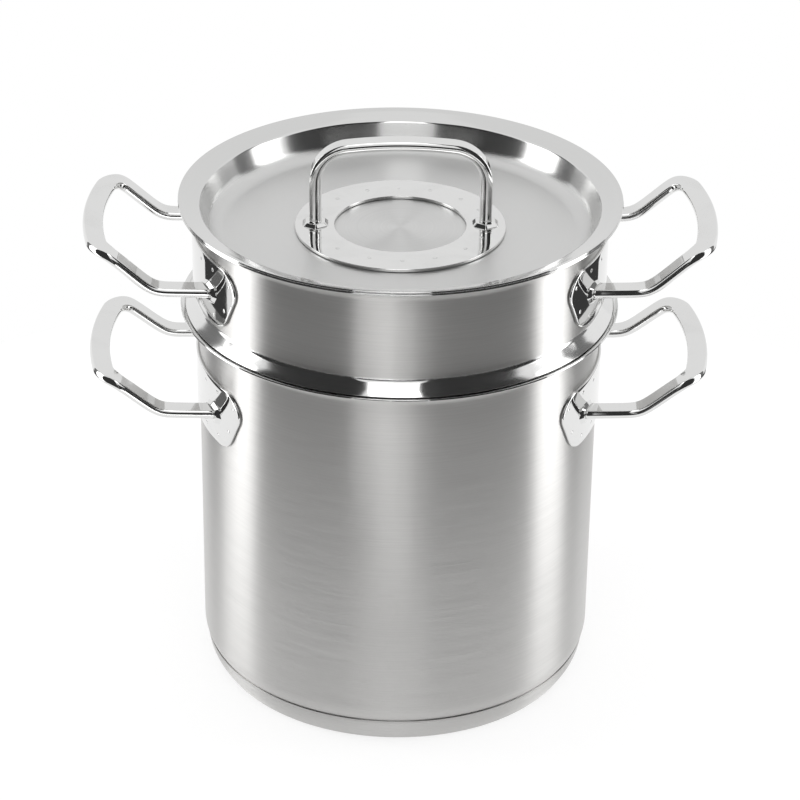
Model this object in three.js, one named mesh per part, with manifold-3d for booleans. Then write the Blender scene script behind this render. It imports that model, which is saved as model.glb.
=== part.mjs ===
// Pasta pot with a strainer insert and a sunk lid.
// Millimetres, +Z up, origin in the middle of the underside, handles along X.
import * as THREE from "three";
import { mergeGeometries, mergeVertices } from "three/addons/utils/BufferGeometryUtils.js";
import Module from "manifold-3d";

const wasm = await Module();
wasm.setup();

// Fits and finish of the faceted surfaces.
const FLATS = 48; // flats round each turned piece
const ARC_STEP = 20; // degrees between the points of a profile's arcs
const SEAT_GAP = 0.3; // between pieces that stand on, or are welded to, each other

// Pot.
const POT_RADIUS = 101; // outside of the straight wall
const POT_HEIGHT = 203.9; // underside of the base to the top of the lip
const POT_SHEET = 0.9;
const POT_CORNER = 16; // outside radius between floor and wall
const LIP_WIDTH = 9; // how far the lip stands out from the pot's wall
const LIP_SLOPE = 19; // degrees, rising outwards
const LIP_BEND = 6; // outside radius between wall and lip

// Base.
const CORE_INSET = 1; // inside the flat part of the pot's floor
const CORE_THICKNESS = 4.8;
const CAP_INSET = 1.6; // cap's rim inside the pot's wall
const CAP_SHEET = 0.6;
const CAP_RIM = 5.3; // edge of the rim down to the corner of its rounded shoulder
const CAP_LEAN = 5.4; // edge of the flat underside inside the rim
const CAP_FOOT = 3; // outside radius of the cap's lower edge

// Strainer insert.
const COLLAR_STEP = 1; // how far the collar's wall stands out from the pot's wall
const COLLAR_RISE = 55.3; // top of the pot's lip to the top of the collar's lip
const COLLAR_SHEET = 0.9;
const FLARE_WIDTH = 5.5; // how far the collar's foot stands out from its wall
const FLARE_ANGLE = 44; // degrees turned by the foot
const FLARE_BEND = 2.5; // radius between wall and foot
const BASKET_SHEET = 0.8;
const BASKET_CLEARANCE = 2.6; // to the inside of the pot's wall
const BASKET_STANDOFF = 26; // pot floor to the underside of the basket
const BASKET_CORNER = 14;

// Perforation of the basket.
const HOLE_RADIUS = 3.2;
const HOLE_ROWS = 6;
const HOLE_ROW_PITCH = 19;
const FIRST_ROW = 30; // lowest row of the wall above the basket's underside
const FLOOR_RINGS = 3;
const FLOOR_PITCH = 21;

// Lid.
const LID_SHEET = 0.9;
const LID_OVERHANG = 0.1; // past the edge of the collar's lip
const LID_CLEARANCE = 1; // to the inside of the collar
const LID_DEPTH = 18; // edge of the rim down to the flat middle
const LID_TAPER = 22; // degrees of the sunk wall
const LID_FILLET = 11;
const LID_BEND = 1.2; // inside radius between wall and rim
const PLATE_INNER = 32.7;
const PLATE_OUTER = 52.5;
const PLATE_THICKNESS = 1.5;

// Lid handle, a bar with a flat outer face.
const LID_GRIP_SPAN = 90.4; // over the outer faces of its legs
const LID_GRIP_HEIGHT = 45.4; // top of the handle plate to the top of the bar
const LID_GRIP_CROWN = 3.5; // fall of the bar's top from its middle to its corners
const LID_GRIP_CORNER = 21; // outer radius
const LID_BAR_WIDTH = 9.2;
const LID_BAR_THICKNESS = 6;
const LID_BOSS_ACROSS = 9.4; // across the flats, at the top
const LID_BOSS_HEIGHT = 1.8;

// Side handles, bars with a flat top. Reaches are measured out from the wall of the vessel.
const LEG_SPACING = 88.6;
const GRIP_LENGTH = 86; // between the corners of the loop
const RISE_START = 17.9;
const RISE_END = 38.5;
const CORNER_REACH = 43.7;
const GRIP_BOW = 5.9;
const GRIP_CORNER = 12.7;
const BEND_SOFTNESS = 1.9;
const GRIP_TILT = 0.11; // slope of the grip, as rise over run
const POT_HANDLE_RISE = 16.4;
const INSERT_HANDLE_RISE = 18.8;
const POT_LEG_DROP = 39.4; // top of the lip down to the flat top of the legs
const INSERT_LEG_DROP = 27.9;
const BAR_WIDTH = 10.2;
const BAR_FLAT = 8;
const BAR_THICKNESS = 5.5;

// Brackets.
const BRACKET_SHEET = 1.2;
const BRACKET_TOP = 141; // widths measured straight across
const BRACKET_FOOT = 113;
const BRACKET_HEIGHT = 33;
const BRACKET_CORNER = 11;
const BRACKET_LIFT = 14.7; // flat top of the legs up to the bracket's top edge
const BOSS_STAND = 1.3; // face of the boss above the plate
const BOSS_WIDTH = 12.4; // over the corners, at the face
const BOSS_HEIGHT = 8.8;
const BOSS_DROP = 3.1; // flat top of the legs down to the middle of the boss
const BOSS_DRAFT = 1.5; // growth of the boss's half width per millimetre of depth

// Sizes that follow from those above.
const radians = THREE.MathUtils.degToRad;
const lipSlope = radians(LIP_SLOPE);
const lipRadius = POT_RADIUS + LIP_WIDTH;
const coreRadius = POT_RADIUS - POT_CORNER - CORE_INSET;
const capRadius = POT_RADIUS - CAP_INSET;
const floorUnderside = CAP_SHEET + CORE_THICKNESS + 2 * SEAT_GAP;
const collarRadius = POT_RADIUS + COLLAR_STEP;
const insertHeight = POT_HEIGHT + COLLAR_RISE;
const flareAngle = radians(FLARE_ANGLE);
const flareEdge = collarRadius + FLARE_WIDTH;
const footRadius = flareEdge - COLLAR_SHEET * Math.cos(flareAngle); // inside of the foot's edge
const basketRadius = POT_RADIUS - POT_SHEET - BASKET_CLEARANCE;
const basketUnderside = floorUnderside + POT_SHEET + BASKET_STANDOFF;
const plateTop = lidFlat() + SEAT_GAP + PLATE_THICKNESS;

// Finishes.
const brushed = { color: 0xb7b7b5, metalness: 1, roughness: 0.34 };
const satin = { color: 0xc4c4c2, metalness: 1, roughness: 0.42 };
const polished = { color: 0xd2d2d1, metalness: 1, roughness: 0.08 };
const perforated = { color: 0xbdbdbb, metalness: 1, roughness: 0.25 };
const aluminium = { color: 0xa9acae, metalness: 1, roughness: 0.55 };

// Height of a lip's upper face at a radius, for a lip whose upper edge is at a given height.
function lipTop(edgeHeight, radius) {
  return edgeHeight - (lipRadius - radius) * Math.tan(lipSlope);
}

// Height of the lid's flat middle.
function lidFlat() {
  return lidEdge() - LID_DEPTH;
}

// Height of the upper edge of the lid's rim, which lies on the collar's lip.
function lidEdge() {
  return lipTop(insertHeight, lipRadius) + (SEAT_GAP + LID_SHEET) / Math.cos(lipSlope);
}

// Points of a profile without fillets.
function line(...points) {
  return points.map((point) => new THREE.Vector2(...point));
}

// Points of a profile whose corners, [radius, height, fillet], are rounded.
function rounded(corners) {
  const points = [];
  corners.forEach(([r, z, fillet], i) => {
    const corner = new THREE.Vector2(r, z);
    if (!fillet) {
      points.push(corner);
      return;
    }
    const back = new THREE.Vector2(...corners[i - 1].slice(0, 2)).sub(corner).normalize();
    const ahead = new THREE.Vector2(...corners[i + 1].slice(0, 2)).sub(corner).normalize();
    const half = Math.acos(back.dot(ahead)) / 2;
    const middle = back.clone().add(ahead).normalize();
    const centre = middle.multiplyScalar(fillet / Math.sin(half)).add(corner);
    const first = back.multiplyScalar(fillet / Math.tan(half)).add(corner).sub(centre);
    const last = ahead.multiplyScalar(fillet / Math.tan(half)).add(corner).sub(centre);
    const turn = Math.atan2(first.cross(last), first.dot(last));
    const steps = Math.ceil(Math.abs(turn) / radians(ARC_STEP));
    for (let k = 0; k <= steps; k += 1) {
      const spoke = first.clone().rotateAround(new THREE.Vector2(), (turn * k) / steps);
      points.push(spoke.add(centre));
    }
  });
  return points.filter((p, i) => i === 0 || p.distanceTo(points[i - 1]) > 0.01);
}

// Closed profile of a sheet, from the points of its lower or outer face and its thickness.
function sheet(face, thickness) {
  const other = face.map((point, i) => {
    const before = face[Math.max(i - 1, 0)];
    const after = face[Math.min(i + 1, face.length - 1)];
    const arrive = (i ? point.clone().sub(before) : after.clone().sub(point)).normalize();
    const leave = (i < face.length - 1 ? after.clone().sub(point) : arrive.clone()).normalize();
    const along = arrive.clone().add(leave).normalize();
    const mitre = thickness / along.dot(leave);
    return new THREE.Vector2(point.x - along.y * mitre, point.y + along.x * mitre);
  });
  return [...face, ...other.reverse()];
}

// Solid of revolution about Z. A profile that doesn't meet the axis is closed on itself.
function turned(profile) {
  const onAxis = profile[0].x === 0;
  if (onAxis) profile[profile.length - 1].x = 0;
  const points = onAxis ? profile : [...profile, profile[0]];
  return new THREE.LatheGeometry(points, FLATS).rotateX(Math.PI / 2);
}

// Bar of a constant section, carried along stations that each hold a point, a side and an up vector.
function swept(section, stations) {
  const count = section.length;
  const positions = stations.flatMap(({ point, side, up }) =>
    section.flatMap(([s, u]) =>
      point.clone().addScaledVector(side, s).addScaledVector(up, u).toArray(),
    ),
  );
  const index = [];
  for (let i = 0; i < stations.length - 1; i += 1) {
    for (let j = 0; j < count; j += 1) {
      const a = i * count + j;
      const b = i * count + ((j + 1) % count);
      index.push(a, a + count, b, b, a + count, b + count);
    }
  }
  const end = (stations.length - 1) * count;
  for (let j = 1; j < count - 1; j += 1) {
    index.push(0, j, j + 1, end, end + j + 1, end + j);
  }
  const geometry = new THREE.BufferGeometry();
  geometry.setAttribute("position", new THREE.Float32BufferAttribute(positions, 3));
  return geometry.setIndex(index);
}

// Section of a bar: flat on top, with its sides and underside half of an oval.
function barSection(width, flat, thickness) {
  const shoulder = (width - flat) / 2;
  const points = [
    [flat / 2, 0],
    [-flat / 2, 0],
  ];
  const steps = 6;
  for (let k = 0; k <= steps; k += 1) {
    const angle = (Math.PI * k) / steps;
    const side = (-width / 2) * Math.cos(angle);
    points.push([side, -shoulder - (thickness - shoulder) * Math.sin(angle)]);
  }
  return points;
}

// Manifold solid of a closed geometry, and back.
function solid(geometry) {
  const bare = new THREE.BufferGeometry();
  bare.setAttribute("position", geometry.getAttribute("position"));
  bare.setIndex(geometry.index);
  const merged = mergeVertices(bare, 1e-3);
  const triVerts = new Uint32Array(merged.index.array);
  const vertProperties = merged.getAttribute("position").array;
  return new wasm.Manifold(new wasm.Mesh({ numProp: 3, vertProperties, triVerts }));
}

function surface(manifold) {
  const { vertProperties, triVerts } = manifold.getMesh();
  const geometry = new THREE.BufferGeometry();
  geometry.setAttribute("position", new THREE.BufferAttribute(vertProperties, 3));
  return geometry.setIndex(new THREE.BufferAttribute(triVerts, 1));
}

// Outer face of a wall with a flared lip: its last two corners.
function lipCorners(wallRadius, height, thickness) {
  const edge = height - thickness / Math.cos(lipSlope);
  return [
    [wallRadius, lipTop(edge, wallRadius), LIP_BEND],
    [lipRadius, edge],
  ];
}

function potBody() {
  const face = rounded([
    [0, floorUnderside],
    [POT_RADIUS, floorUnderside, POT_CORNER],
    ...lipCorners(POT_RADIUS, POT_HEIGHT, POT_SHEET),
  ]);
  return turned(sheet(face, POT_SHEET));
}

function baseCore() {
  const bottom = CAP_SHEET + SEAT_GAP;
  return turned(sheet(line([0, bottom], [coreRadius, bottom]), CORE_THICKNESS));
}

// The cap leans out from its flat underside and its shoulder bends up to a rim, which ends just
// short of the pot's rounded lower corner.
function baseCap() {
  const reach = POT_CORNER + SEAT_GAP;
  const offset = POT_CORNER - CAP_INSET - CAP_SHEET;
  const top = floorUnderside + POT_CORNER - Math.sqrt(reach ** 2 - offset ** 2);
  const lean = Math.atan2(CAP_LEAN, top - CAP_RIM);
  const side = Math.hypot(CAP_LEAN, top - CAP_RIM) - CAP_FOOT * Math.tan((Math.PI / 2 - lean) / 2);
  const shoulder = Math.min(CAP_RIM, side) / Math.tan(lean / 2);
  const face = rounded([
    [0, 0],
    [capRadius - CAP_LEAN, 0, CAP_FOOT],
    [capRadius, top - CAP_RIM, shoulder],
    [capRadius, top],
  ]);
  return turned(sheet(face, CAP_SHEET));
}

// Height of what lies on the pot's lip.
function seat(radius) {
  return lipTop(POT_HEIGHT, radius) + SEAT_GAP / Math.cos(lipSlope);
}

// The collar stands on the pot's lip with the edge of its foot.
function insertCollar() {
  const edge = seat(footRadius) + COLLAR_SHEET * Math.sin(flareAngle);
  const face = rounded([
    [flareEdge, edge],
    [collarRadius, edge + FLARE_WIDTH / Math.tan(flareAngle), FLARE_BEND],
    ...lipCorners(collarRadius, insertHeight, COLLAR_SHEET),
  ]);
  return turned(sheet(face, COLLAR_SHEET));
}

// Six-sided cutter lying along a direction of the XY plane, or upright where no angle is given.
function holeCutter(x, y, z, angle) {
  const length = 8 * BASKET_SHEET;
  const cutter = new THREE.CylinderGeometry(HOLE_RADIUS, HOLE_RADIUS, length, 6);
  if (angle === undefined) cutter.rotateX(Math.PI / 2);
  else cutter.rotateZ(Math.PI / 2 + angle);
  return cutter.translate(x, y, z);
}

// Staggered rows, each hole in the middle of a flat of the wall, and rings of holes in the floor.
function basketHoles() {
  const cutters = [holeCutter(0, 0, basketUnderside)];
  const flat = (2 * Math.PI) / FLATS;
  for (let row = 0; row < HOLE_ROWS; row += 1) {
    const height = basketUnderside + FIRST_ROW + row * HOLE_ROW_PITCH;
    for (let k = row % 2; k < FLATS; k += 2) {
      const angle = (k + 0.5) * flat;
      const x = basketRadius * Math.cos(angle);
      const y = basketRadius * Math.sin(angle);
      cutters.push(holeCutter(x, y, height, angle));
    }
  }
  for (let ring = 1; ring <= FLOOR_RINGS; ring += 1) {
    for (let k = 0; k < 6 * ring; k += 1) {
      const angle = (Math.PI * k) / (3 * ring);
      const radius = ring * FLOOR_PITCH;
      cutters.push(holeCutter(radius * Math.cos(angle), radius * Math.sin(angle), basketUnderside));
    }
  }
  return mergeGeometries(cutters);
}

// The basket's rim lies on the pot's lip and ends just inside the collar's foot.
function strainerBasket() {
  const tuck = flareAngle - lipSlope;
  const short = (SEAT_GAP + BASKET_SHEET * Math.sin(tuck)) / Math.cos(tuck);
  const rim = footRadius - short * Math.cos(lipSlope);
  const face = rounded([
    [0, basketUnderside],
    [basketRadius, basketUnderside, BASKET_CORNER],
    [basketRadius, seat(basketRadius), LIP_BEND],
    [rim, seat(rim)],
  ]);
  const blank = solid(turned(sheet(face, BASKET_SHEET)));
  return surface(blank.subtract(solid(basketHoles())));
}

function lidShell() {
  const rim = lipRadius + LID_OVERHANG;
  const wall = collarRadius - COLLAR_SHEET - LID_CLEARANCE;
  const under = (radius) => lipTop(insertHeight, radius) + SEAT_GAP / Math.cos(lipSlope);
  const bottom = lidFlat() - LID_SHEET;
  const foot = wall - (under(wall) - bottom) * Math.tan(radians(LID_TAPER));
  const face = rounded([
    [0, bottom],
    [foot, bottom, LID_FILLET],
    [wall, under(wall), LID_BEND],
    [rim, under(rim)],
  ]);
  return turned(sheet(face, LID_SHEET));
}

// Six-sided boss that narrows to its face.
function boss(across, draft, depth) {
  const face = across / Math.sqrt(3);
  return new THREE.CylinderGeometry(face, face + draft * depth, depth, 6, 1);
}

function lidHandlePlate() {
  const under = plateTop - PLATE_THICKNESS;
  const face = line([PLATE_INNER, under], [PLATE_OUTER, under]);
  let plate = solid(turned(sheet(face, PLATE_THICKNESS)));
  const sunk = PLATE_THICKNESS / 2;
  const leg = (LID_GRIP_SPAN - LID_BAR_THICKNESS) / 2;
  for (const x of [-leg, leg]) {
    const raised = boss(LID_BOSS_ACROSS, 1, LID_BOSS_HEIGHT + sunk).rotateX(Math.PI / 2);
    raised.translate(x, 0, plateTop + (LID_BOSS_HEIGHT - sunk) / 2);
    plate = plate.add(solid(raised));
  }
  return surface(plate);
}

// The bar follows its outer face: up one leg, along an arch with rounded corners and down the other.
function lidHandle() {
  const start = plateTop + LID_BOSS_HEIGHT + SEAT_GAP;
  const top = plateTop + LID_GRIP_HEIGHT;
  const half = LID_GRIP_SPAN / 2;
  const arch = [-0.4, -0.2, 0, 0.2, 0.4].map((share) => [share * half, top - LID_GRIP_CROWN * share ** 2]);
  const line = rounded([
    [-half, start],
    [-half, top - LID_GRIP_CROWN, LID_GRIP_CORNER],
    ...arch,
    [half, top - LID_GRIP_CROWN, LID_GRIP_CORNER],
    [half, start],
  ]);
  const stations = line.map((point, i) => {
    const before = line[Math.max(i - 1, 0)];
    const after = line[Math.min(i + 1, line.length - 1)];
    const along = after.clone().sub(before).normalize();
    return {
      point: new THREE.Vector3(point.x, 0, point.y),
      side: new THREE.Vector3(0, -1, 0),
      up: new THREE.Vector3(-along.y, 0, along.x),
    };
  });
  const flat = LID_BAR_WIDTH - (BAR_WIDTH - BAR_FLAT);
  return swept(barSection(LID_BAR_WIDTH, flat, LID_BAR_THICKNESS), stations);
}

// Distance from the axis to the face of a bracket's boss, square to the wall.
function bossFace(wallRadius) {
  return wallRadius + SEAT_GAP + BRACKET_SHEET + BOSS_STAND;
}

// Angle about the axis between a leg's boss and the middle of its bracket.
function bossTurn(wallRadius) {
  return Math.asin(LEG_SPACING / 2 / bossFace(wallRadius));
}

// Half of a loop seen from above: along one leg, round the corner and to the middle of the grip.
function halfLoop(wallRadius) {
  const turn = bossTurn(wallRadius);
  const start = bossFace(wallRadius) * Math.cos(turn) + SEAT_GAP / Math.cos(turn);
  const reach = wallRadius + CORNER_REACH;
  const halfGrip = GRIP_LENGTH / 2;
  const bowRadius = (halfGrip ** 2 + GRIP_BOW ** 2) / (2 * GRIP_BOW);
  const bowAngle = Math.asin(halfGrip / bowRadius);
  const middle = new THREE.Vector2(reach + GRIP_BOW, 0);
  const tangent = [reach + 10 * Math.sin(bowAngle), -halfGrip + 10 * Math.cos(bowAngle)];
  const line = rounded([[start, -LEG_SPACING / 2], [reach, -halfGrip, GRIP_CORNER], tangent]);
  const corner = line.slice(1, -1);
  const legEnd = corner[0];
  const legSteps = 9;
  const leg = [line[0]];
  for (let k = 0; k < legSteps; k += 1) {
    const x = THREE.MathUtils.lerp(wallRadius + RISE_START / 2, legEnd.x, k / legSteps);
    const share = (x - start) / (legEnd.x - start);
    leg.push(line[0].clone().lerp(legEnd, share));
  }
  const gripStart = corner[corner.length - 1].y;
  const grip = [2 / 3, 1 / 3].map((share) => {
    const y = gripStart * share;
    const x = middle.x - bowRadius + Math.sqrt(bowRadius ** 2 - y ** 2);
    return new THREE.Vector2(x, y);
  });
  return [...leg, ...corner, ...grip, middle];
}

// A loop lies on a surface that is level at the wall, rises, and eases off to the tilt of the grip.
// Height is slope * soft(x - start) - (slope - tilt) * soft(x - end), where soft(u) is a smoothed ramp.
// The ends of the legs are cut along the faces of the bosses.
function sideHandle(wallRadius, legTop, rise) {
  const slope = rise / (RISE_END - RISE_START);
  const ramp = (u) => BEND_SOFTNESS * Math.log1p(Math.exp(u / BEND_SOFTNESS));
  const ease = (u) => 1 / (1 + Math.exp(-u / BEND_SOFTNESS));
  const first = (x) => x - wallRadius - RISE_START;
  const second = (x) => x - wallRadius - RISE_END;
  const height = (x) => slope * ramp(first(x)) - (slope - GRIP_TILT) * ramp(second(x));
  const steepness = (x) => slope * ease(first(x)) - (slope - GRIP_TILT) * ease(second(x));
  const half = halfLoop(wallRadius);
  const mirrored = half.slice(0, -1).reverse();
  const loop = [...half, ...mirrored.map((p) => new THREE.Vector2(p.x, -p.y))];
  const line = loop.map((p) => new THREE.Vector3(p.x, p.y, legTop + height(p.x)));
  const stations = line.map((point, i) => {
    const before = line[Math.max(i - 1, 0)];
    const after = line[Math.min(i + 1, line.length - 1)];
    const along = after.clone().sub(before).normalize();
    const up = new THREE.Vector3(-steepness(point.x), 0, 1).normalize();
    const side = along.clone().cross(up).normalize();
    return { point, side, up };
  });
  stations[0].side.x -= Math.tan(bossTurn(wallRadius));
  stations[stations.length - 1].side.x -= Math.tan(bossTurn(wallRadius));
  return swept(barSection(BAR_WIDTH, BAR_FLAT, BAR_THICKNESS), stations);
}

// Outline of a bracket seen along X, wider at its top, with rounded corners.
function bracketOutline(top) {
  const foot = top - BRACKET_HEIGHT;
  const middle = [0, foot];
  const corners = [
    [BRACKET_FOOT / 2, foot, BRACKET_CORNER],
    [BRACKET_TOP / 2, top, BRACKET_CORNER],
    [-BRACKET_TOP / 2, top, BRACKET_CORNER],
    [-BRACKET_FOOT / 2, foot, BRACKET_CORNER],
  ];
  return new THREE.Shape(rounded([middle, ...corners, middle]).slice(0, -1));
}

// Eight-sided boss that flares to the plate, along X from a given distance.
function flaredBoss(face, depth) {
  const half = BOSS_WIDTH / 2;
  const raised = new THREE.CylinderGeometry(half, half + BOSS_DRAFT * depth, depth, 8, 1);
  return raised.scale(1, 1, BOSS_HEIGHT / BOSS_WIDTH).rotateZ(-Math.PI / 2).translate(face - depth / 2, 0, 0);
}

// A plate that follows the wall, with a boss for each leg of its handle.
function bracket(wallRadius, legTop) {
  const back = wallRadius + SEAT_GAP;
  const top = legTop + BRACKET_LIFT;
  const low = top - 2 * BRACKET_HEIGHT;
  const high = top + BRACKET_HEIGHT;
  const ring = sheet(line([back + BRACKET_SHEET, low], [back + BRACKET_SHEET, high]), BRACKET_SHEET);
  const outline = new THREE.ExtrudeGeometry(bracketOutline(top), { depth: wallRadius, bevelEnabled: false });
  outline.rotateY(Math.PI / 2).rotateX(Math.PI / 2).translate(wallRadius / 4, 0, 0);
  let plate = solid(turned(ring)).intersect(solid(outline));
  const depth = BOSS_STAND + 2 * BRACKET_SHEET + SEAT_GAP;
  for (const sign of [-1, 1]) {
    const pad = flaredBoss(bossFace(wallRadius), depth);
    pad.rotateZ(sign * bossTurn(wallRadius)).translate(0, 0, legTop - BOSS_DROP);
    plate = plate.add(solid(pad));
  }
  const core = line([0, low], [back, low], [back, high], [0, high]);
  return surface(plate.subtract(solid(turned(core))));
}

// A named piece of one finish, added to the group of what it moves with.
function add(group, name, geometry, finish) {
  const mesh = new THREE.Mesh(geometry, new THREE.MeshStandardMaterial(finish));
  mesh.name = name;
  group.add(mesh);
  return mesh;
}

// A bracket and its handle on each side of a vessel.
function addSideHandles(group, vessel, wallRadius, legTop, rise) {
  const sides = { right: 0, left: Math.PI };
  for (const [side, turn] of Object.entries(sides)) {
    const pair = new THREE.Group();
    pair.rotation.z = turn;
    add(pair, `${vessel}_bracket_${side}`, bracket(wallRadius, legTop), polished);
    add(pair, `${vessel}_handle_${side}`, sideHandle(wallRadius, legTop, rise), polished);
    group.add(pair);
  }
}

const pot = new THREE.Group();
add(pot, "pot_body", potBody(), brushed);
add(pot, "base_core", baseCore(), aluminium);
add(pot, "base_cap", baseCap(), satin);
addSideHandles(pot, "pot", POT_RADIUS, POT_HEIGHT - POT_LEG_DROP, POT_HANDLE_RISE);

const insert = new THREE.Group();
add(insert, "insert_collar", insertCollar(), brushed);
add(insert, "strainer_basket", strainerBasket(), perforated);
addSideHandles(insert, "insert", collarRadius, insertHeight - INSERT_LEG_DROP, INSERT_HANDLE_RISE);

const lid = new THREE.Group();
add(lid, "lid_shell", lidShell(), satin);
add(lid, "lid_handle_plate", lidHandlePlate(), polished);
add(lid, "lid_handle", lidHandle(), polished);

const pastaPot = new THREE.Group();
pastaPot.add(pot, insert, lid);

export default pastaPot;
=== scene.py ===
"""Looks of a pasta pot with a strainer insert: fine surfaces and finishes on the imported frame."""

import math

import bmesh
import bpy
import numpy as np
from bpy.props import FloatProperty, FloatVectorProperty, IntProperty, PointerProperty
from bpy.types import Operator, Panel, PropertyGroup
from mathutils import Matrix, Vector


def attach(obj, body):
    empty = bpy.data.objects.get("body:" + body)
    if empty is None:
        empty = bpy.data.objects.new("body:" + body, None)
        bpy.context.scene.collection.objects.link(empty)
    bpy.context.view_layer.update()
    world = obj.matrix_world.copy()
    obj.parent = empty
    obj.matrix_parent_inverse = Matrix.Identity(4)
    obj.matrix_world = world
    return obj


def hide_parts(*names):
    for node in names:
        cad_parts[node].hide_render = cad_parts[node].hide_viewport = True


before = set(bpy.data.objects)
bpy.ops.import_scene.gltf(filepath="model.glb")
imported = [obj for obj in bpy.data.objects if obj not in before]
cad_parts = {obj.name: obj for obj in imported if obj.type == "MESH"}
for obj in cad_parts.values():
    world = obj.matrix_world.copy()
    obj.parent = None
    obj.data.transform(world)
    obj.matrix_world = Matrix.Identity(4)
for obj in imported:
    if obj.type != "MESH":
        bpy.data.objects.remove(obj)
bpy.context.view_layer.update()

bl_info = {
    "name": "Pasta Pot",
    "version": (1, 0, 0),
    "blender": (4, 5, 0),
    "location": "3D View > Sidebar > Pasta Pot",
    "description": "Builds a steel pasta pot with a strainer insert and a sunk lid",
    "category": "Object",
}

TURN_COLUMNS = 216  # points round a turned piece
BASKET_COLUMNS = 144  # points round the basket, a multiple of each ring's holes
ARC_TURN = math.radians(5)  # between neighbouring points of a fillet
LONGEST_STEP = 0.004  # between neighbouring points of a straight
LOOP_STEP = 0.0009  # the same along a side handle
FINE_STEP = 0.0012  # the same along the lid's handle and down a boss
WELD_GAP = 0.0001  # left between welded pieces
POLISHED_EDGE = 0.0012  # depth of the polish below the top of a lip
POLISHED_FOOT = 0.0066  # height of the polish on the collar's foot above the pot's lip
LINE_DEPTH = 0.00004  # of the brushing
SIDES = (("right", 1), ("left", -1))


# Settings


def length(label, note, size):
    """A size in metres."""
    return FloatProperty(
        name=label, description=note, default=size, min=0, precision=4, unit="LENGTH"
    )


def angle(label, note, degrees):
    """An angle, given here in degrees."""
    return FloatProperty(
        name=label, description=note, default=math.radians(degrees), subtype="ANGLE"
    )


def colour(label, note, grey):
    """A linear colour."""
    return FloatVectorProperty(
        name=label, description=note, default=grey, size=3, min=0, max=1, subtype="COLOR"
    )


def share(label, note, value):
    """A number without a unit."""
    return FloatProperty(name=label, description=note, default=value, min=0)


class PotSizes(PropertyGroup):
    """Pot and base."""

    radius: length("Wall radius", "Outside of the straight wall", 0.101)
    height: length("Height", "Underside of the base to the top of the lip", 0.2039)
    sheet: length("Sheet", "Thickness of the pot's wall and floor", 0.0009)
    corner: length("Corner", "Outside radius between floor and wall", 0.016)
    lip_width: length("Lip width", "How far the lip stands out from the wall", 0.009)
    lip_slope: angle("Lip slope", "Rise of the lip outwards", 19)
    lip_bend: length("Lip bend", "Outside radius between wall and lip", 0.006)
    cap_inset: length("Cap inset", "Base cap's rim inside the pot's wall", 0.0016)
    cap_sheet: length("Cap sheet", "Thickness of the base cap", 0.0006)
    cap_rim: length("Cap rim", "Edge of the rim down to the corner of its shoulder", 0.0053)
    cap_lean: length("Cap lean", "Edge of the flat underside inside the rim", 0.0054)
    cap_foot: length("Cap foot", "Outside radius of the cap's lower edge", 0.003)
    core: length("Core", "Thickness of the disc in the base", 0.0048)
    gap: length("Seat gap", "Between pieces that stand on each other", 0.0003)


class InsertSizes(PropertyGroup):
    """Collar and basket."""

    step: length("Collar step", "Collar's wall outside the pot's wall", 0.001)
    rise: length("Collar rise", "Pot's lip to the collar's lip", 0.0553)
    sheet: length("Collar sheet", "Thickness of the collar", 0.0009)
    foot_width: length("Foot width", "How far the collar's foot stands out from its wall", 0.0055)
    foot_turn: angle("Foot turn", "Turn of the collar's foot", 44)
    foot_bend: length("Foot bend", "Radius between the collar's wall and foot", 0.0025)
    basket_sheet: length("Basket sheet", "Thickness of the basket", 0.0008)
    clearance: length("Clearance", "Basket to the inside of the pot's wall", 0.0026)
    standoff: length("Standoff", "Pot's floor to the underside of the basket", 0.026)
    corner: length("Basket corner", "Outside radius between floor and wall", 0.014)
    hole: length("Hole radius", "Radius of the basket's holes", 0.0032)
    columns: IntProperty(name="Holes in a row", description="Round the wall", default=24)
    rows: IntProperty(name="Rows", description="Rows of holes in the wall", default=6)
    row_pitch: length("Row pitch", "Height between rows of holes", 0.019)
    first_row: length("First row", "Underside of the basket to its lowest row", 0.030)
    rings: IntProperty(name="Rings", description="Rings of holes in the floor", default=3)
    ring_pitch: length("Ring pitch", "Width between rings of holes", 0.021)


class LidSizes(PropertyGroup):
    """Lid, its handle plate and its handle."""

    sheet: length("Lid sheet", "Thickness of the lid", 0.0009)
    overhang: length("Overhang", "Lid past the edge of the collar's lip", 0.0001)
    clearance: length("Clearance", "Lid to the inside of the collar", 0.001)
    depth: length("Depth", "Edge of the rim down to the flat middle", 0.018)
    taper: angle("Taper", "Slope of the sunk wall", 22)
    fillet: length("Fillet", "Outside radius between middle and wall", 0.011)
    bend: length("Bend", "Inside radius between wall and rim", 0.0012)
    plate_inner: length("Plate inside", "Inner radius of the handle plate", 0.0327)
    plate_outer: length("Plate outside", "Outer radius of the handle plate", 0.0525)
    plate: length("Plate", "Thickness of the handle plate", 0.0015)
    span: length("Grip span", "Over the outer faces of the handle's legs", 0.0904)
    height: length("Grip height", "Handle plate to the top of the bar", 0.0454)
    crown: length("Grip crown", "Fall of the bar from its middle to its corners", 0.0035)
    corner: length("Grip corner", "Outer radius of the bar's corners", 0.021)
    bar_width: length("Bar width", "Width of the bar", 0.0092)
    bar: length("Bar", "Thickness of the bar", 0.006)
    boss: length("Boss", "Across the flats of a boss, at its face", 0.0094)
    boss_height: length("Boss height", "Height of a boss above the plate", 0.0018)


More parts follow.
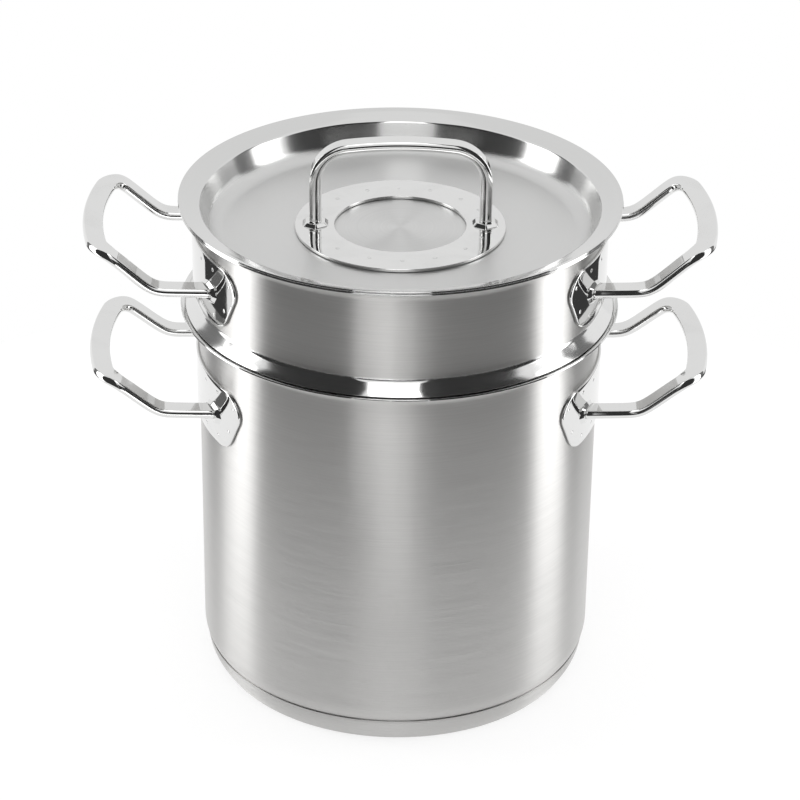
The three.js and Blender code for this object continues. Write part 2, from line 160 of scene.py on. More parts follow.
class HandleSizes(PropertyGroup):
    """Side handles and their brackets. Reaches are measured out from the vessel's wall."""

    spacing: length("Leg spacing", "Between the middles of the legs", 0.0886)
    grip: length("Grip length", "Between the corners of the loop", 0.086)
    rise_start: length("Rise start", "Where the legs start to rise", 0.0179)
    rise_end: length("Rise end", "Where the legs ease off", 0.0385)
    reach: length("Corner reach", "Reach of the loop's corners", 0.0437)
    bow: length("Grip bow", "Outward bow of the grip", 0.0059)
    corner: length("Grip corner", "Radius of the loop's corners", 0.0127)
    softness: length("Softness", "Width of the bends in the legs", 0.0019)
    tilt: share("Grip tilt", "Slope of the grip as rise over run", 0.11)
    pot_rise: length("Pot rise", "Rise of the pot's handles", 0.0164)
    insert_rise: length("Insert rise", "Rise of the insert's handles", 0.0188)
    pot_drop: length("Pot drop", "Pot's lip to the top of its legs", 0.0394)
    insert_drop: length("Insert drop", "Collar's lip to the top of its legs", 0.0279)
    bar_width: length("Bar width", "Width of the bar", 0.0102)
    bar_flat: length("Bar flat", "Width of the bar's flat top", 0.008)
    bar: length("Bar", "Thickness of the bar", 0.0055)
    plate: length("Bracket sheet", "Thickness of a bracket", 0.0012)
    plate_top: length("Bracket top", "Width straight across its top", 0.141)
    plate_foot: length("Bracket foot", "Width straight across its foot", 0.113)
    plate_height: length("Bracket height", "Height of a bracket", 0.033)
    plate_corner: length("Bracket corner", "Radius of its corners", 0.011)
    plate_lift: length("Bracket lift", "Top of the legs to its top edge", 0.0147)
    boss_stand: length("Boss stand", "Face of a boss above the bracket", 0.0013)
    boss_width: length("Boss width", "Over the corners of a boss, at its face", 0.0124)
    boss_height: length("Boss height", "Height of a boss, at its face", 0.0088)
    boss_drop: length("Boss drop", "Top of a leg to the middle of its boss", 0.0031)
    boss_draft: share("Boss draft", "Growth of a boss's half width with its depth", 1.5)


class Finishes(PropertyGroup):
    """Colours and gloss of the steel."""

    brushed: colour("Brushed steel", "Walls of the pot and collar", (0.60, 0.595, 0.585))
    satin: colour("Satin steel", "Lid, basket and base cap", (0.66, 0.66, 0.655))
    polished: colour("Polished steel", "Handles, brackets and rims", (0.74, 0.74, 0.735))
    core: colour("Aluminium", "Disc in the base", (0.60, 0.61, 0.62))
    brushed_gloss: share("Brushed roughness", "Roughness of brushed steel", 0.38)
    satin_gloss: share("Satin roughness", "Roughness of satin steel", 0.34)
    polished_gloss: share("Polished roughness", "Roughness of polished steel", 0.06)


class StageSettings(PropertyGroup):
    """Floor, light and camera."""

    distance: length("Distance", "Camera to its target", 1.519)
    target: length("Target height", "Height of the camera's target", 0.1445)
    side: length("Target side", "Camera's target beside the axis", 0.0010)
    elevation: angle("Elevation", "Camera above the horizon", 28.4)
    azimuth: angle("Azimuth", "Camera round the pot", -1.5)
    roll: angle("Roll", "Camera about its own axis", 0.78)
    lens: FloatProperty(name="Lens", description="Focal length in mm", default=133.3)
    floor: length("Floor", "Radius of the floor", 0.42)
    floor_colour: colour("Floor colour", "Colour of the floor", (0.85, 0.85, 0.85))
    floor_shadow: share("Floor shadow", "Strength of the shadow on the floor", 0.4)
    card_radius: length("Card radius", "Cards to the pot's axis", 0.9)
    turn: angle("Light turn", "Lamps and cards about the pot's axis", -4.8)


class PastaPot(PropertyGroup):
    """All settings of the pot."""

    pot: PointerProperty(type=PotSizes)
    insert: PointerProperty(type=InsertSizes)
    lid: PointerProperty(type=LidSizes)
    handles: PointerProperty(type=HandleSizes)
    finish: PointerProperty(type=Finishes)
    stage: PointerProperty(type=StageSettings)


# Sizes that follow from the settings


def lip_radius(s):
    """Outer radius of the lips."""
    return s.pot.radius + s.pot.lip_width


def lip_top(s, edge, radius):
    """Height of a lip's upper face at a radius, for a lip whose upper edge has a given height."""
    return edge - (lip_radius(s) - radius) * math.tan(s.pot.lip_slope)


def floor_underside(s):
    """Height of the pot's floor above the stove."""
    return s.pot.cap_sheet + s.pot.core + 2 * s.pot.gap


def collar_radius(s):
    """Outside of the collar's straight wall."""
    return s.pot.radius + s.insert.step


def insert_height(s):
    """Height of the top of the collar's lip."""
    return s.pot.height + s.insert.rise


def foot_inside(s):
    """Distance from the axis to the inner edge of the collar's foot."""
    edge = collar_radius(s) + s.insert.foot_width
    return edge - s.insert.sheet * math.cos(s.insert.foot_turn)


def seat(s, edge, radius):
    """Height, at a radius, of what lies on a lip whose upper edge has a given height."""
    return lip_top(s, edge, radius) + s.pot.gap / math.cos(s.pot.lip_slope)


def basket_underside(s):
    """Height of the underside of the basket's floor."""
    return floor_underside(s) + s.pot.sheet + s.insert.standoff


def basket_radius(s):
    """Outside of the basket's wall."""
    return s.pot.radius - s.pot.sheet - s.insert.clearance


def lid_wall(s):
    """Radius of the top of the lid's sunk wall."""
    return collar_radius(s) - s.insert.sheet - s.lid.clearance


def lid_flat(s):
    """Height of the lid's flat middle."""
    stack = (s.pot.gap + s.lid.sheet) / math.cos(s.pot.lip_slope)
    return insert_height(s) + stack - s.lid.depth


def plate_top(s):
    """Height of the lid's handle plate."""
    return lid_flat(s) + s.pot.gap + s.lid.plate


def boss_face(s, wall):
    """Distance from the axis to the face of a bracket's boss, square to the wall."""
    return wall + s.pot.gap + s.handles.plate + s.handles.boss_stand


def boss_turn(s, wall):
    """Angle about the axis between a leg's boss and the middle of its bracket."""
    return math.asin(s.handles.spacing / 2 / boss_face(s, wall))


def vessels(s):
    """Body, wall radius, height of the legs' tops and rise, for the handles of pot and insert."""
    h = s.handles
    return (
        ("pot", s.pot.radius, s.pot.height - h.pot_drop, h.pot_rise),
        ("insert", collar_radius(s), insert_height(s) - h.insert_drop, h.insert_rise),
    )


# Lines, profiles and grids


def unit(v):
    """Vectors divided by their lengths."""
    return v / np.linalg.norm(v, axis=-1, keepdims=True)


def left(v):
    """Plane vectors turned a quarter to the left."""
    return np.stack((-v[..., 1], v[..., 0]), -1)


def line_run(line):
    """Length along a line at each of its points."""
    step = np.linalg.norm(np.diff(line, axis=0), axis=1)
    return np.concatenate(([0], np.cumsum(step)))


def points_at(line, run, at):
    """Points of a line at given lengths along it."""
    return np.stack([np.interp(at, run, values) for values in line.T], -1)


def resampled(line, count):
    """The same line with a given number of evenly spaced points."""
    run = line_run(line)
    return points_at(line, run, np.linspace(0, run[-1], count))


def subdivided(points, longest=LONGEST_STEP):
    """The same line, with no two neighbouring points further apart than the longest step."""
    step = np.linalg.norm(np.diff(points, axis=0), axis=1)
    points = points[np.concatenate(([True], step > 1e-6))]
    step = step[step > 1e-6]
    run = np.concatenate(([0], np.cumsum(step)))
    parts = np.ceil(step / longest).astype(int)
    stretches = [np.linspace(a, b, n, False) for a, b, n in zip(run, run[1:], parts)]
    return points_at(points, run, np.concatenate([*stretches, run[-1:]]))


def rounded(*corners):
    """Line through corners (a, b, fillet): each fillet is an arc that touches both of its sides."""
    points = []
    for i, (a, b, *fillet) in enumerate(corners):
        corner = np.array((a, b))
        if not fillet:
            points.append(corner[None])
            continue
        back = unit(np.array(corners[i - 1][:2]) - corner)
        ahead = unit(np.array(corners[i + 1][:2]) - corner)
        half = math.acos(np.clip(back @ ahead, -1, 1)) / 2
        reach = fillet[0] / math.tan(half)
        centre = corner + unit(back + ahead) * fillet[0] / math.sin(half)
        first = corner + back * reach - centre
        last = corner + ahead * reach - centre
        turn = math.atan2(left(first) @ last, first @ last)
        t = np.linspace(0, turn, math.ceil(abs(turn) / ARC_TURN) + 1)[:, None]
        points.append(centre + np.cos(t) * first + np.sin(t) * left(first))
    return subdivided(np.concatenate(points))


def cut_edge(centre, along, thickness, corner):
    """Flat cut edge of a sheet with rounded corners, from the right of a direction to its left."""
    t = np.radians(np.linspace(-72, 0, 5))[:, None]
    side = left(along)
    across = thickness / 2 - corner
    low = centre - side * across + corner * (np.cos(t) * along + np.sin(t) * side)
    high = centre + side * across + corner * (np.cos(t) * along - np.sin(t) * side)
    return np.concatenate((low, high[::-1]))


def sheet(face, thickness, open_start=False):
    """Profile of a sheet: its face, a cut edge, and the face moved to the left by the thickness.
    An open start gets a cut edge too, so that the profile closes on itself."""
    corner = thickness / 5
    along = unit(np.gradient(face, axis=0))
    face = face.copy()
    face[-1] -= along[-1] * corner
    if open_start:
        face[0] += along[0] * corner
    other = face + left(along) * thickness
    middle = (face + other) / 2
    profile = [face, cut_edge(middle[-1], along[-1], thickness, corner), other[::-1]]
    if open_start:
        profile.append(cut_edge(middle[0], -along[0], thickness, corner))
    return np.concatenate(profile)


def revolved(profile, columns=TURN_COLUMNS, start=0.0):
    """Grid of a profile (r, z) turned about Z: x = r cos a, y = r sin a. The start angle may
    differ by row."""
    a = np.linspace(0, 2 * np.pi, columns, False) + np.reshape(start, (-1, 1))
    r, z = profile[:, :1], profile[:, 1:]
    return np.stack((r * np.cos(a), r * np.sin(a), z + 0 * a), -1)


def quads(rows, columns, wrap_rows=False, wrap_columns=True):
    """Faces of a grid whose points are stored row by row."""
    r = np.arange(rows if wrap_rows else rows - 1)[:, None]
    c = np.arange(columns if wrap_columns else columns - 1)
    below, beside = (r + 1) % rows, (c + 1) % columns
    a, b = r * columns + c, r * columns + beside
    d, e = below * columns + c, below * columns + beside
    return np.stack((a, b, e, d), -1).reshape(-1, 4)


def volume(points, faces):
    """Signed volume inside quads: the sum of the tetrahedra from the origin to their triangles."""
    a, b, c, d = (points[faces[:, k]] for k in range(4))
    return (a * (np.cross(b, c) + np.cross(c, d))).sum() / 6


def shell(grid, wrap_rows=False, closed=True):
    """Points and faces of a grid that wraps along its columns. A closed grid is made to face
    outwards."""
    points = grid.reshape(-1, 3)
    faces = quads(*grid.shape[:2], wrap_rows)
    if closed and volume(points, faces) < 0:
        faces = faces[:, ::-1]
    return points, faces


def capped(grid):
    """A grid whose first and last rows are closed by rows drawn together in their middles."""
    first = np.broadcast_to(grid[:1].mean(1, keepdims=True), grid[:1].shape)
    last = np.broadcast_to(grid[-1:].mean(1, keepdims=True), grid[-1:].shape)
    return np.concatenate((first, grid, last))


def many(grids, closed=True):
    """Points and faces of an array of like grids, (count, rows, columns, 3), made as in shell."""
    count, rows, columns, _ = grids.shape
    faces = quads(rows, columns)
    if closed and volume(grids[0].reshape(-1, 3) - grids[0, 0, 0], faces) < 0:
        faces = faces[:, ::-1]
    shift = np.arange(count)[:, None, None] * rows * columns
    return grids.reshape(-1, 3), (faces + shift).reshape(-1, 4)


def make_piece(name, parts, material, body, node):
    """A smooth mesh of parts (points, faces), welded at its seams and poles, that rides a body in
    place of a CAD node."""
    first = np.cumsum([0] + [len(points) for points, _ in parts])
    points = np.concatenate([points for points, _ in parts])
    faces = np.concatenate([faces + n for (_, faces), n in zip(parts, first)])
    mesh = bpy.data.meshes.new(name)
    mesh.from_pydata(points.tolist(), [], faces.tolist())
    work = bmesh.new()
    work.from_mesh(mesh)
    bmesh.ops.remove_doubles(work, verts=work.verts, dist=2e-6)
    bmesh.ops.dissolve_degenerate(work, edges=work.edges, dist=1e-7)
    work.to_mesh(mesh)
    work.free()
    mesh.polygons.foreach_set("use_smooth", np.ones(len(mesh.polygons), bool))
    mesh.materials.append(material)
    piece = bpy.data.objects.new(name, mesh)
    bpy.context.scene.collection.objects.link(piece)
    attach(piece, body)
    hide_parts(node)
    return piece


# Finishes


def put(tree, kind, inputs=(), **settings):
    """A node with its settings; an input is a value, or a socket to link from."""
    made = tree.nodes.new(kind)
    for key, value in settings.items():
        setattr(made, key, value)
    for key, value in dict(inputs).items():
        if isinstance(value, bpy.types.NodeSocket):
            tree.links.new(value, made.inputs[key])
        else:
            made.inputs[key].default_value = value
    return made


def math_node(tree, operation, a, b=0.0):
    """Result of an operation on one or two values."""
    return put(tree, "ShaderNodeMath", {0: a, 1: b}, operation=operation).outputs[0]


def ramp(tree, value, low, high, to_low=0.0, to_high=1.0, smooth=True):
    """A value carried from one range to another, held at its ends."""
    sockets = {"Value": value, 1: low, 2: high, 3: to_low, 4: to_high}
    kind = "SMOOTHSTEP" if smooth else "LINEAR"
    made = put(tree, "ShaderNodeMapRange", sockets, interpolation_type=kind)
    return made.outputs[0]


def mixed(tree, factor, a, b):
    """A value mixed from a to b."""
    made = put(tree, "ShaderNodeMix", {0: factor, 2: a, 3: b}, data_type="FLOAT")
    return made.outputs[0]


def mixed_colour(tree, factor, a, b):
    """A colour mixed from a to b, which are colours or sockets."""
    a, b = (c if isinstance(c, bpy.types.NodeSocket) else (*c, 1) for c in (a, b))
    return put(tree, "ShaderNodeMix", {0: factor, 6: a, 7: b}, data_type="RGBA").outputs[2]


def new_group(name, inputs, outputs):
    """An empty shader node group with its sockets and its two end nodes."""
    tree = bpy.data.node_groups.new(name, "ShaderNodeTree")
    for label, kind in inputs:
        tree.interface.new_socket(label, in_out="INPUT", socket_type=kind)
    for label in outputs:
        tree.interface.new_socket(label, in_out="OUTPUT", socket_type="NodeSocketFloat")
    return tree, put(tree, "NodeGroupInput"), put(tree, "NodeGroupOutput")


def brushing_group():
    """Lines left by brushing: noise, fine across the lines and slow along them, in two widths."""
    found = bpy.data.node_groups.get("Brushing")
    if found:
        return found
    sockets = [("Vector", "NodeSocketVector")]
    sockets += [(label, "NodeSocketFloat") for label in ("Across", "Fineness", "Along")]
    tree, start, end = new_group("Brushing", sockets, ("Lines", "Bands"))
    place, across, fineness, along = list(start.outputs)[:4]
    scaled = put(tree, "ShaderNodeVectorMath", {0: place, 3: along}, operation="SCALE")
    plane = put(tree, "ShaderNodeSeparateXYZ", {0: scaled.outputs[0]}).outputs
    fine = math_node(tree, "MULTIPLY", across, fineness)
    for label, width in (("Lines", 1.0), ("Bands", 0.16)):
        depth = math_node(tree, "MULTIPLY", fine, width)
        at = put(tree, "ShaderNodeCombineXYZ", {0: plane[0], 1: plane[1], 2: depth})
        sockets = {"Vector": at.outputs[0], "Scale": 1.0, "Detail": 3.0, "Roughness": 0.65}
        noise = put(tree, "ShaderNodeTexNoise", sockets)
        tree.links.new(noise.outputs[0], end.inputs[label])
    return tree


def handling_group():
    """Soft marks of wiping and handling, as a mask."""
    found = bpy.data.node_groups.get("Handling")
    if found:
        return found
    sockets = (("Vector", "NodeSocketVector"), ("Scale", "NodeSocketFloat"))
    tree, start, end = new_group("Handling", sockets, ("Marks",))
    sockets = {"Detail": 5.0, "Roughness": 0.55, "Distortion": 0.6}
    sockets |= {"Vector": start.outputs[0], "Scale": start.outputs[1]}
    noise = put(tree, "ShaderNodeTexNoise", sockets)
    tree.links.new(ramp(tree, noise.outputs[0], 0.46, 0.72), end.inputs[0])
    return tree


def brushing(tree, place, across, fineness, along):
    """Lines and bands of brushing, given what runs across them and how fine they are."""
    sockets = {"Vector": place, "Across": across, "Fineness": fineness, "Along": along}
    made = put(tree, "ShaderNodeGroup", sockets, node_tree=brushing_group())
    return made.outputs["Lines"], made.outputs["Bands"]


def handling(tree, place, scale):
    """Marks of handling at a scale."""
    sockets = {"Vector": place, "Scale": scale}
    return put(tree, "ShaderNodeGroup", sockets, node_tree=handling_group()).outputs[0]


def new_steel(name):
    """A metal material, its node tree, its shader, and its object coordinates split up."""
    material = bpy.data.materials.new(name)
    material.use_nodes = True
    tree = material.node_tree
    shader = tree.nodes["Principled BSDF"]
    shader.inputs["Metallic"].default_value = 1.0
    place = put(tree, "ShaderNodeTexCoord").outputs["Object"]
    axes = put(tree, "ShaderNodeSeparateXYZ", {0: place}).outputs
    return material, tree, shader, place, axes


def turn_highlights(tree, shader, amount):
    """Highlights drawn out across the brushing, which runs round Z."""
    tangent = put(tree, "ShaderNodeTangent", direction_type="RADIAL", axis="Z")
    tree.links.new(tangent.outputs[0], shader.inputs["Tangent"])
    shader.inputs["Anisotropic"].default_value = amount
    shader.inputs["Anisotropic Rotation"].default_value = 0.25


def shaded(rgb, factor):
    """A colour made lighter or darker."""
    return tuple(min(1.0, c * factor) for c in rgb)


def two_tone(tree, factor, rgb, contrast):
    """A colour that goes from darker to lighter by the same contrast."""
    return mixed_colour(tree, factor, shaded(rgb, 1 - contrast), shaded(rgb, 1 + contrast))


def set_surface(tree, shader, rough, tint):
    """Roughness and colour that change over the surface."""
    tree.links.new(rough, shader.inputs["Roughness"])
    tree.links.new(tint, shader.inputs["Base Color"])


def finish_lines(tree, shader, lines, strength):
    """Brushing raised in the surface."""
    sockets = {"Strength": strength, "Distance": LINE_DEPTH, "Height": lines}
    bump = put(tree, "ShaderNodeBump", sockets)
    tree.links.new(bump.outputs[0], shader.inputs["Normal"])


def brushed_steel(s, name, polished_from, polished_below=None, haze=0.0):
    """Steel brushed round Z, polished above one height and, if given, below another. Haze dulls
    the polish."""
    f = s.finish
    material, tree, shader, place, axes = new_steel(name)
    lines, bands = brushing(tree, place, axes[2], fineness=1500.0, along=22.0)
    marks = handling(tree, place, scale=14.0)
    brushed = ramp(tree, axes[2], polished_from - 0.0006, polished_from + 0.0006, 1.0, 0.0)
    if polished_below is not None:
        low = ramp(tree, axes[2], polished_below - 0.001, polished_below + 0.001)
        brushed = math_node(tree, "MULTIPLY", brushed, low)
    grain = mixed(tree, 0.35, lines, bands)
    grain = ramp(tree, grain, 0.3, 0.7, smooth=False)
    rough = ramp(tree, grain, 0.0, 1.0, f.brushed_gloss - 0.06, f.brushed_gloss + 0.06, False)
    smooth = ramp(tree, marks, 0.0, 1.0, f.polished_gloss + haze, f.polished_gloss + haze + 0.03)
    tint = mixed_colour(tree, brushed, f.polished, two_tone(tree, grain, f.brushed, 0.07))
    set_surface(tree, shader, mixed(tree, brushed, smooth, rough), tint)
    deep = math_node(tree, "MAXIMUM", brushed, 4 * haze)
    finish_lines(tree, shader, math_node(tree, "MULTIPLY", grain, deep), 0.25)
    turn_highlights(tree, shader, 0.95)
    return material


def polished_steel(s, name):
    """Mirror-bright steel with the faint marks of wiping."""
    f = s.finish
    material, tree, shader, place, _ = new_steel(name)
    marks = handling(tree, place, scale=40.0)
    rough = ramp(tree, marks, 0.0, 1.0, f.polished_gloss - 0.02, f.polished_gloss + 0.05)
    tint = mixed_colour(tree, marks, f.polished, shaded(f.polished, 0.96))
    set_surface(tree, shader, rough, tint)
    return material


def distance_from_axis(tree, axes):
    """Square root of x^2 + y^2."""
    x, y = (math_node(tree, "POWER", axis, 2.0) for axis in axes[:2])
    return math_node(tree, "SQRT", math_node(tree, "ADD", x, y))


def satin_steel(s, name, amount, contrast=0.04, gloss=0.0, fineness=1700.0, wall=None, rim=None):
    """Satin steel with circular lines about Z, which draw out the highlights by an amount. Outside
    a wall's radius they do so more, and outside a rim's radius it is polished."""
    f = s.finish
    material, tree, shader, place, axes = new_steel(name)
    radius = distance_from_axis(tree, axes)
    across = math_node(tree, "ADD", radius, axes[2])
    lines, bands = brushing(tree, place, across, fineness, along=10.0)
    marks = handling(tree, place, scale=16.0)
    grain = mixed(tree, 0.4, lines, bands)
    middle = f.satin_gloss + gloss
    rough = ramp(tree, grain, 0.3, 0.7, middle - 0.05, middle + 0.05, False)
    rough = math_node(tree, "ADD", rough, math_node(tree, "MULTIPLY", marks, 0.03))
    raised = grain
    if wall is not None:
        on_wall = ramp(tree, radius, wall - 0.003, wall)
        rough = mixed(tree, on_wall, rough, 0.2)
    if rim is not None:
        satin = ramp(tree, radius, rim - 0.0004, rim + 0.0004, 1.0, 0.0)
        rough = mixed(tree, satin, f.polished_gloss, rough)
        raised = math_node(tree, "MULTIPLY", grain, satin)
    set_surface(tree, shader, rough, two_tone(tree, grain, f.satin, contrast))
    finish_lines(tree, shader, raised, 0.2)
    turn_highlights(tree, shader, amount)
    if wall is not None:
        tree.links.new(mixed(tree, on_wall, amount, 0.9), shader.inputs["Anisotropic"])
    return material


def plain_aluminium(s, name):
    """Rolled aluminium with a soft grain along X."""
    material, tree, shader, place, axes = new_steel(name)
    lines, bands = brushing(tree, place, axes[1], fineness=900.0, along=6.0)
    rough = ramp(tree, lines, 0.3, 0.7, 0.45, 0.6, False)
    set_surface(tree, shader, rough, two_tone(tree, bands, s.finish.core, 0.08))
    return material


# Shapes


def lip_corners(s, wall, height, thickness):
    """Last two corners of a wall's outer face with a flared lip."""
    edge = height - thickness / math.cos(s.pot.lip_slope)
    return (wall, lip_top(s, edge, wall), s.pot.lip_bend), (lip_radius(s), edge)


def pot_body_grid(s):
    """The pot's sheet turned about Z: floor, rounded corner, wall and flared lip."""
    p = s.pot
    low = floor_underside(s)
    face = rounded(
        (0, low), (p.radius, low, p.corner), *lip_corners(s, p.radius, p.height, p.sheet)
    )
    return revolved(sheet(face, p.sheet))


def base_cap_grid(s):
    """The cap's sheet turned about Z: flat underside, leaning side, rounded shoulder, and a rim
    that ends just short of the pot's rounded corner."""
    p = s.pot
    radius = p.radius - p.cap_inset
    offset = p.corner - p.cap_inset - p.cap_sheet
    top = floor_underside(s) + p.corner - math.sqrt((p.corner + p.gap / 3) ** 2 - offset**2)
    low = top - p.cap_rim
    lean = math.atan2(p.cap_lean, low)
    side = math.hypot(p.cap_lean, low) - p.cap_foot * math.tan((math.pi / 2 - lean) / 2)
    shoulder = 0.999 * min(p.cap_rim, side) / math.tan(lean / 2)
    face = rounded(
        (0, 0), (radius - p.cap_lean, 0, p.cap_foot), (radius, low, shoulder), (radius, top)
    )
    return revolved(sheet(face, p.cap_sheet))


def collar_grid(s):
    """The collar's sheet turned about Z: flared foot, band and flared lip."""
    i = s.insert
    edge = seat(s, s.pot.height, foot_inside(s)) + i.sheet * math.sin(i.foot_turn)
    wall = collar_radius(s)
    bend = edge + i.foot_width / math.tan(i.foot_turn)
    face = rounded(
        (wall + i.foot_width, edge),
        (wall, bend, i.foot_bend),
        *lip_corners(s, wall, insert_height(s), i.sheet),
    )
    return revolved(sheet(face, i.sheet, open_start=True))


def lid_grid(s):
    """The lid's sheet turned about Z: flat middle, sunk wall and rim on the collar's lip."""
    d = s.lid
    wall, rim = lid_wall(s), lip_radius(s) + d.overhang
    high, edge = (seat(s, insert_height(s), radius) for radius in (wall, rim))
    low = lid_flat(s) - d.sheet
    foot = wall - (high - low) * math.tan(d.taper)
    face = rounded((0, low), (foot, low, d.fillet), (wall, high, d.bend), (rim, edge))
    return revolved(sheet(face, d.sheet))


def hole_loop(inner, outer, thickness):
    """Rows from the edge of a flat cell, through the hole in it, to the edge of its other face.
    Inner and outer are loops of plane points, and the result adds the depth below the first
    face."""
    bevel = thickness / 4
    wide = inner * (1 + bevel / np.linalg.norm(inner, axis=-1, keepdims=True))
    face = [outer, wide + (outer - wide) * 0.55, wide + (outer - wide) * 0.12, wide]
    rows = [(loop, 0.0) for loop in face] + [(inner, bevel), (inner, thickness - bevel)]
    rows += [(loop, thickness) for loop in face[::-1]]
    return np.stack([np.concatenate((p, np.full((*p.shape[:-1], 1), d)), -1) for p, d in rows], -3)


def box_loop(along, upright):
    """Loop round a square from -1 to 1, anticlockwise from its lower left, in even steps."""
    a = np.linspace(-1, 1, along, False)
    b = np.linspace(-1, 1, upright, False)
    one_a, one_b = np.ones(along), np.ones(upright)
    sides = ((a, -one_a), (one_b, b), (-a, one_a), (-one_b, -b))
    return np.concatenate([np.stack(side, -1) for side in sides])


def basket_wall_cells(s):
    """Cells of the perforated wall, staggered by half a cell between rows and wrapped round Z."""
    i = s.insert
    radius = basket_radius(s)
    steps = BASKET_COLUMNS // i.columns
    cell = np.array((np.pi * radius / i.columns, i.row_pitch / 2))
    outer = box_loop(steps, steps) * cell
    inner = unit(outer) * i.hole
    flat = hole_loop(inner, outer, i.basket_sheet)
    row = np.repeat(np.arange(i.rows), i.columns)[:, None, None]
    column = np.tile(np.arange(i.columns), i.rows)[:, None, None]
    a = (column + 0.25 + 0.5 * (row % 2)) * 2 * np.pi / i.columns + flat[..., 0] / radius
    z = basket_underside(s) + i.first_row + row * i.row_pitch + flat[..., 1]
    r = radius - flat[..., 2]
    return np.stack((r * np.cos(a), r * np.sin(a), z), -1)


def basket_floor_cells(s, ring):
    """Cells of one ring of the perforated floor: sectors about Z, or a disc in the middle."""
    i = s.insert
    if ring == 0:
        t = -np.linspace(0, 2 * np.pi, BASKET_COLUMNS, False)
        circle = np.stack((np.cos(t), np.sin(t)), -1)
        cells = hole_loop(circle * i.hole, circle * i.ring_pitch / 2, i.basket_sheet)[None]
        return np.stack((cells[..., 0], cells[..., 1], basket_underside(s) + cells[..., 2]), -1)
    count = 6 * ring
    box = box_loop(BASKET_COLUMNS // count, 6)
    turn = box[:, 0] * np.pi / count
    r = i.ring_pitch * (ring - box[:, 1] / 2)
    outer = np.stack((r * np.cos(turn) - i.ring_pitch * ring, r * np.sin(turn)), -1)
    flat = hole_loop(unit(outer) * i.hole, outer, i.basket_sheet)
    x, y = flat[..., 0] + i.ring_pitch * ring, flat[..., 1]
    a = np.arange(count)[:, None, None] * 2 * np.pi / count
    z = basket_underside(s) + flat[..., 2] + 0 * a
    return np.stack((x * np.cos(a) - y * np.sin(a), x * np.sin(a) + y * np.cos(a), z), -1)


def basket_bands(s):
    """The plain stretches of the basket, turned about Z: round the floor and corner, and the top
    with its rim, which lies on the pot's lip and ends short of the collar's foot."""
    i = s.insert
    low = basket_underside(s)
    radius = basket_radius(s)
    holes_low = low + i.first_row - i.row_pitch / 2
    holes_high = holes_low + i.rows * i.row_pitch
    floor = i.ring_pitch * (i.rings + 0.5)
    thick = i.basket_sheet
    slope = s.pot.lip_slope
    tuck = i.foot_turn - slope
    short = (s.pot.gap + thick * math.sin(tuck)) / math.cos(tuck)
    rim = foot_inside(s) - short * math.cos(slope)
    start = -np.pi / BASKET_COLUMNS
    lower = rounded((floor, low), (radius, low, i.corner), (radius, holes_low))
    across = unit(np.gradient(lower, axis=0))
    inside = (lower + left(across) * thick)[::-1]
    first = np.where(np.arange(len(lower)) == 0, 0.0, start)
    bend = (radius, seat(s, s.pot.height, radius), s.pot.lip_bend)
    upper = rounded((radius, holes_high), bend, (rim, seat(s, s.pot.height, rim)))
    return (
        revolved(lower, BASKET_COLUMNS, first),
        revolved(inside, BASKET_COLUMNS, first[::-1]),
        revolved(sheet(upper, thick), BASKET_COLUMNS, start),
    )


def bar_section(width, flat, thickness):
    """Section of a bar: a flat top, edges that are quarters of a tall oval, and half of an oval
    below."""
    shoulder, drop = (width - flat) / 2, thickness * 0.44
    spread = np.array((1, 0.97, 0.9, 0.5, 0, -0.5, -0.9, -0.97, -1)) * flat / 2
    top = np.stack((spread, 0 * spread), -1)
    t = np.radians(np.arange(10, 90, 10))
    edge = np.stack((-flat / 2 - shoulder * np.sin(t), drop * (np.cos(t) - 1)), -1)
    t = np.radians(np.linspace(0, 180, 25))
    depth = -drop - (thickness - drop) * np.sin(t)
    under = np.stack((-width / 2 * np.cos(t), depth), -1)
    return np.concatenate((top, edge, under, edge[::-1] * (-1, 1)))


def from_ends(line):
    """Length along a line from the nearer of its ends, at each of its points."""
    run = line_run(line)
    return np.minimum(run, run[-1] - run)


def bar_grid(section, line, side, up, thickness, flare, width):
    """A section (s, u) carried along a line: p + s * side + u * up. At a distance d from a welded
    end it is grown about its middle by 1 + flare * exp(-(d / width)^2). The ends are closed."""
    across = section[None, :, :1] * side[:, None] + section[None, :, 1:] * up[:, None]
    grow = 1 + flare * np.exp(-((from_ends(line) / width) ** 2))
    middle = (line - up * thickness / 2)[:, None]
    return capped(middle + (line[:, None] + across - middle) * grow[:, None, None])


def half_loop(s, wall):
    """Half of a side handle seen from above: a leg, an arc that touches the leg and the bow, and
    half the bow."""
    h = s.handles
    turn = boss_turn(s, wall)
    ahead = boss_face(s, wall) * math.cos(turn) + WELD_GAP / math.cos(turn)
    start = np.array((ahead, -h.spacing / 2))
    leg = unit(np.array((wall + h.reach, -h.grip / 2)) - start)
    bow = ((h.grip / 2) ** 2 + h.bow**2) / (2 * h.bow)
    centre = np.array((wall + h.reach + h.bow - bow, 0))
    offset = start + left(leg) * h.corner - centre
    along = offset @ leg
    reach = -along + math.sqrt(along**2 - offset @ offset + (bow - h.corner) ** 2)
    pivot = centre + offset + leg * reach
    spoke = unit(pivot - centre)
    last = math.atan2(spoke[1], spoke[0])
    first = math.atan2(-left(leg)[1], -left(leg)[0])
    t = np.linspace(first, last, 28)[:, None]
    corner = pivot + h.corner * np.concatenate((np.cos(t), np.sin(t)), 1)
    t = np.linspace(last, 0, 40)[1:, None]
    grip = centre + bow * np.concatenate((np.cos(t), np.sin(t)), 1)
    return subdivided(np.concatenate((start[None], corner, grip)), LOOP_STEP)


